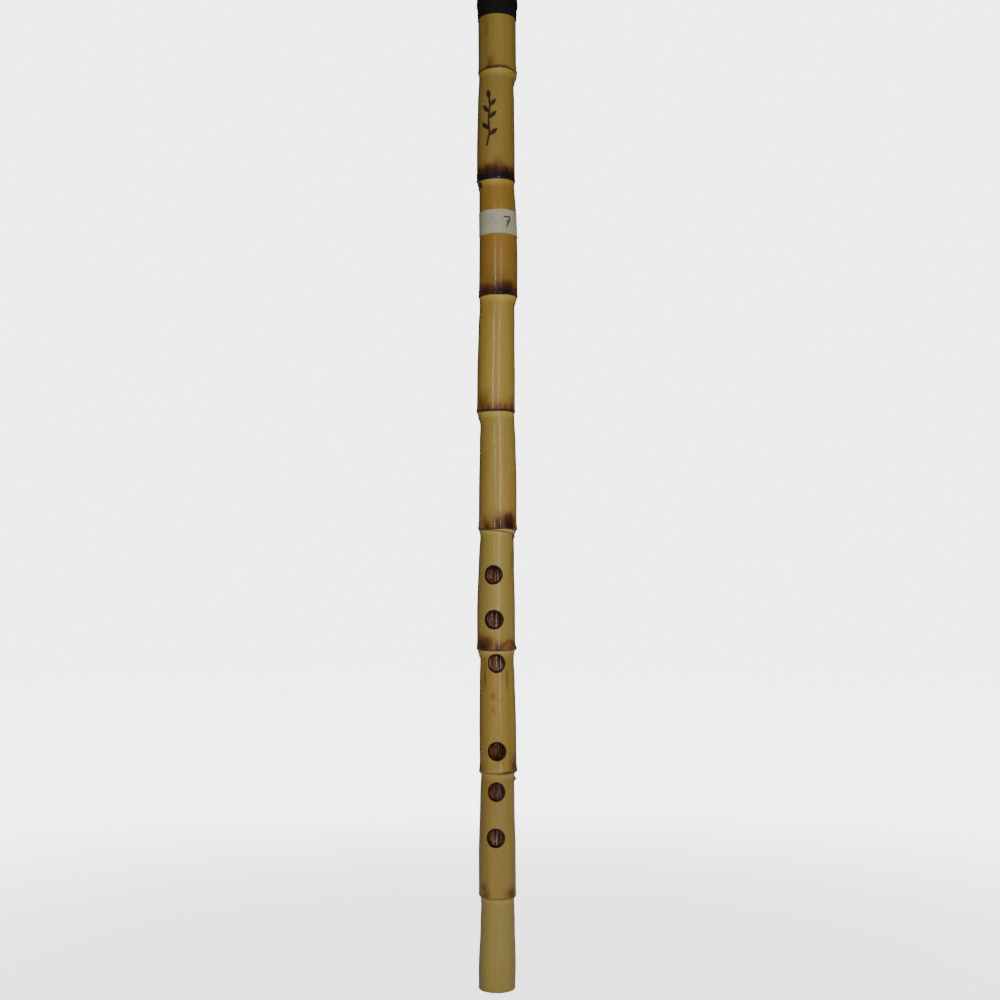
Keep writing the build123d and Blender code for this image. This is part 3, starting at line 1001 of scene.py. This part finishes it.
tape, tree, coat = new_material("black_cloth_tape")
place = add_node(tree, "ShaderNodeTexCoord").outputs["Object"]
along, across = kept(tree, "paid_out"), kept(tree, "across")
THREADS_TO_MM = 2.6
TAPE_BLACK = (0.0035, 0.0035, 0.0035, 1)
THREAD_GREY = (0.009, 0.009, 0.0088, 1)
DUST_GREY = (0.03, 0.028, 0.024, 1)
warp = (along * THREADS_TO_MM * pi).reckon("SINE").reckon("ABSOLUTE")
weft = (across * THREADS_TO_MM * pi).reckon("SINE").reckon("ABSOLUTE")
weave = warp.most(weft)
dust = noise(tree, place, 700, 3, 2.0).ramp(0.1, 0.9) * 0.5
dust = dust + noise(tree, place, 90, 2, 4.0).ramp(-0.2, 1.0) * 0.4
colour = blend(tree, weave, TAPE_BLACK, THREAD_GREY)
colour = blend(tree, dust * 0.22, colour, DUST_GREY)
join(tree, colour, coat.inputs["Base Color"])
join(tree, 0.72 + weave * -0.12, coat.inputs["Roughness"])
coat.inputs["Specular IOR Level"].default_value = 0.25
bumped = add_node(tree, "ShaderNodeBump", {"Height": weave, "Strength": 0.5, "Distance": 0.00008})
join(tree, bumped.outputs[0], coat.inputs["Normal"])

binding = grow("mouth_tape_winding", bpy.data.meshes.new("tape_blank"), winding, TAPE_SIZES, tape)
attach(binding, "root")
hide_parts("mouth_binding")


# Paper label: a strip of plain white paper pasted round the front of the cane below the second node. It is
# pressed down on the skin, bridges the bud groove, and has lifted a little at its cut ends and edges.
PAPER_WIDTH = 52.0
PAPER_THICKNESS = 0.13
PAPER_LIFT = 0.1
PAPER_INTERNODE = 6
PAPER_RADIUS = 12.4
PAPER_COLUMNS = 130
PAPER_ROWS = 44
END_LIFT = 0.22
END_LIFT_REACH = 3.5
EDGE_LIFT = 0.05
EDGE_LIFT_REACH = 1.2
TORN_REACH = 0.9
# Waves of the sheet: rise, waves round and waves up. Waves of its torn edges: size, waves round and start
WRINKLES = [(0.018, 23, 0.7), (0.014, 41, -1.3)]
TEARS = [(0.22, 3.1, 0.6), (0.09, 17, 0), (0.05, 43, 0)]
OUTSIDE = 50.0

surface = BVHTree.FromPolygons([v.co for v in cane.data.vertices], [p.vertices for p in cane.data.polygons])
paper_low, paper_high = (corner.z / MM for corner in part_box("paper_label"))
half_turn = PAPER_WIDTH / BELLY_RADII[PAPER_INTERNODE] / 2
front_skin = np.zeros((PAPER_ROWS + 1, PAPER_COLUMNS + 1))
paper_turns = np.linspace(-half_turn, half_turn, PAPER_COLUMNS + 1)
paper_heights = np.linspace(paper_low, paper_high, PAPER_ROWS + 1)
for row, up in enumerate(paper_heights):
    for column, turn in enumerate(paper_turns):
        out = Vector((cos(FRONT + turn), sin(FRONT + turn), 0))
        hit = surface.ray_cast(out * (OUTSIDE * MM) + Vector((0, 0, up * MM)), -out)[0]
        front_skin[row, column] = hit.xy.length / MM

# Paper bends one way only, so each row of it lies on the high places of the skin round about
PAPER_SPREAD = 4
PAPER_SLOPE = 0.02
pressed = front_skin.copy()
for step in range(-PAPER_SPREAD, PAPER_SPREAD + 1):
    slid = np.roll(front_skin, step, axis=1)
    if step > 0:
        slid[:, :step] = front_skin[:, :1]
    if step < 0:
        slid[:, step:] = front_skin[:, -1:]
    pressed = np.maximum(pressed, slid - PAPER_SLOPE * abs(step))

paper_points, paper_across, paper_up = [], [], []
for side in (PAPER_THICKNESS, 0.0):
    for row, up in enumerate(paper_heights):
        for column, turn in enumerate(paper_turns):
            from_end = (half_turn - abs(turn)) * BLANK_RADIUS
            from_edge = min(up - paper_low, paper_high - up)
            lift = END_LIFT * max(0, 1 - from_end / END_LIFT_REACH) ** 2 * (1 + 0.5 * sin(up * 0.9))
            lift += EDGE_LIFT * max(0, 1 - from_edge / EDGE_LIFT_REACH) * (1 + sin(turn * 9 + row))
            wrinkle = sum(rise * sin(turn * across + up * along) for rise, across, along in WRINKLES)
            radius = pressed[row, column] + PAPER_LIFT + side + lift + wrinkle
            torn = sum(tear * sin(turn * across + start) for tear, across, start in TEARS)
            torn *= (1 if row > PAPER_ROWS / 2 else 0.6) * max(0, 1 - from_edge / TORN_REACH)
            angle = FRONT + turn
            point = (radius * cos(angle), radius * sin(angle), up + torn)
            paper_points.append([part * MM for part in point])
            paper_across.append(turn * PAPER_RADIUS)
            paper_up.append(up - (paper_low + paper_high) / 2)
wide = PAPER_COLUMNS + 1
layer = wide * (PAPER_ROWS + 1)
paper_faces = []
for row in range(PAPER_ROWS):
    for column in range(PAPER_COLUMNS):
        corner = row * wide + column
        face = [corner, corner + 1, corner + wide + 1, corner + wide]
        paper_faces += [face, [layer + place for place in reversed(face)]]
outline = list(range(wide)) + [row * wide + wide - 1 for row in range(1, PAPER_ROWS + 1)]
outline += [PAPER_ROWS * wide + column for column in range(wide - 2, -1, -1)]
outline += [row * wide for row in range(PAPER_ROWS - 1, 0, -1)]
for here, there in zip(outline, outline[1:] + outline[:1]):
    paper_faces.append([here, layer + here, layer + there, there])
sheet = bpy.data.meshes.new("paper_strip")
sheet.from_pydata(paper_points, [], paper_faces)
for name, values in {"across": paper_across, "up": paper_up}.items():
    sheet.attributes.new(name, "FLOAT", "POINT").data.foreach_set("value", np.array(values, np.float32))
sheet.shade_smooth()

paper, tree, coat = new_material("pasted_paper")
place = add_node(tree, "ShaderNodeTexCoord").outputs["Object"]
across, up = kept(tree, "across"), kept(tree, "up")
pulp = noise(tree, place, 1400, 4, 1.0)
stain = noise(tree, place, 130, 3, 6.0)
PAPER_DULL = (0.29, 0.275, 0.18, 1)
PAPER_CLEAN = (0.49, 0.47, 0.35, 1)
EDGE_YELLOW = (0.36, 0.29, 0.15, 1)
EDGE_STAIN = (6.6, 8.6)
clean = (0.5 + pulp * 0.3 + stain * 0.35).most(0).least(1)
colour = blend(tree, clean, PAPER_DULL, PAPER_CLEAN)
edge = up.reckon("ABSOLUTE").ramp(*EDGE_STAIN) * (0.55 + stain * 0.5)
colour = blend(tree, edge * 0.6, colour, EDGE_YELLOW)

# A pen's plain figure 7 at the right, and faint pencil ticks at the left
PENCIL_BLUE = (0.16, 0.19, 0.30, 1)
INK_BLACK = (0.012, 0.014, 0.016, 1)
shaky = noise(tree, place, 420, 1, 5.0) * 0.12
FIGURE = [((4.4, 2.9), (8.8, 3.1), 0.95, 0.2), ((8.8, 3.1), (6.4, -3.2), 1.05, 0.3)]
FIGURE += [((6.0, 0.2), (9.0, 0.3), 0.7, 0.2)]
TICKS = [((-5.6, -2.2), (-4.0, 4.6)), ((-3.2, 0.6), (-1.6, 6.2)), ((-8.0, -2.4), (-6.6, 2.2))]
ink = draw(tree, across + shaky, up + shaky, FIGURE, 0.12)
ticks = [(start, end, 0.6, 0.6) for start, end in TICKS]
pencil = draw(tree, across + shaky, up + shaky, ticks, 0.35) * (0.55 + pulp * 0.3)
colour = blend(tree, pencil, colour, PENCIL_BLUE)
colour = blend(tree, ink * 0.92, colour, INK_BLACK)
join(tree, colour, coat.inputs["Base Color"])
join(tree, 0.62 + pulp * 0.06, coat.inputs["Roughness"])
coat.inputs["Specular IOR Level"].default_value = 0.3
relief = pulp * 0.6 + stain * 0.4
bumped = add_node(tree, "ShaderNodeBump", {"Height": relief, "Strength": 0.35, "Distance": 0.00005})
join(tree, bumped.outputs[0], coat.inputs["Normal"])

label = bpy.data.objects.new("paper_label_strip", sheet)
bpy.context.scene.collection.objects.link(label)
sheet.materials.append(paper)
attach(label, "root")
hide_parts("paper_label")
